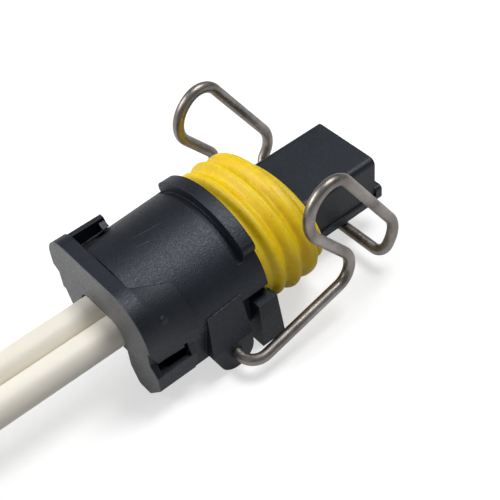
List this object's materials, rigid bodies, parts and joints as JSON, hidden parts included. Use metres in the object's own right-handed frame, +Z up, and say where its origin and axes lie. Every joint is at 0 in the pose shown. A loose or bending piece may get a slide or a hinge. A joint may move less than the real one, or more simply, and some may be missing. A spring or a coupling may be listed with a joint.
{
  "type": "connector pigtail",
  "caption": "Sealed oval plug with a rectangular nose, ribbed rubber seal, clip-on rear cover, sprung wire bail and short insulated leads with bare ends.",
  "frame": {"origin": "middle of the plug's length, on the surface that its ears and blocks stand on", "axes": "+X towards the mating nose, +Y to the plug's left seen from behind, +Z up"},
  "size_m": [0.1623, 0.026, 0.0191],
  "materials": {
    "housing_plastic": "satin moulded",
    "cover_plastic": "satin moulded",
    "front_seal_rubber": "semi-gloss",
    "spring_steel": "drawn wire",
    "lead_seal_rubber": "matte",
    "terminal_plate": "tinned",
    "core_copper": "stranded copper",
    "lead_insulation": "smooth satin"
  },
  "bodies": {
    "plug": {"housing": "housing_plastic", "rear_cover": "cover_plastic", "front_seal": "front_seal_rubber", "lead_seal": "lead_seal_rubber", "terminal_left": "terminal_plate", "terminal_right": "terminal_plate", "core_crimp_left": "core_copper", "core_crimp_right": "core_copper", "lead_left": "lead_insulation", "lead_right": "lead_insulation", "core_tip_left": "core_copper", "core_tip_right": "core_copper"},
    "bail": {"wire_bail": "spring_steel"}
  },
  "joints": [
    {"name": "bail_pivot", "type": "hinge", "parent": "plug", "child": "bail", "pos_m": [-0.00835, 0, 0.0023], "axis": [0, 1, 0], "range_deg": [0, 180]}
  ]
}
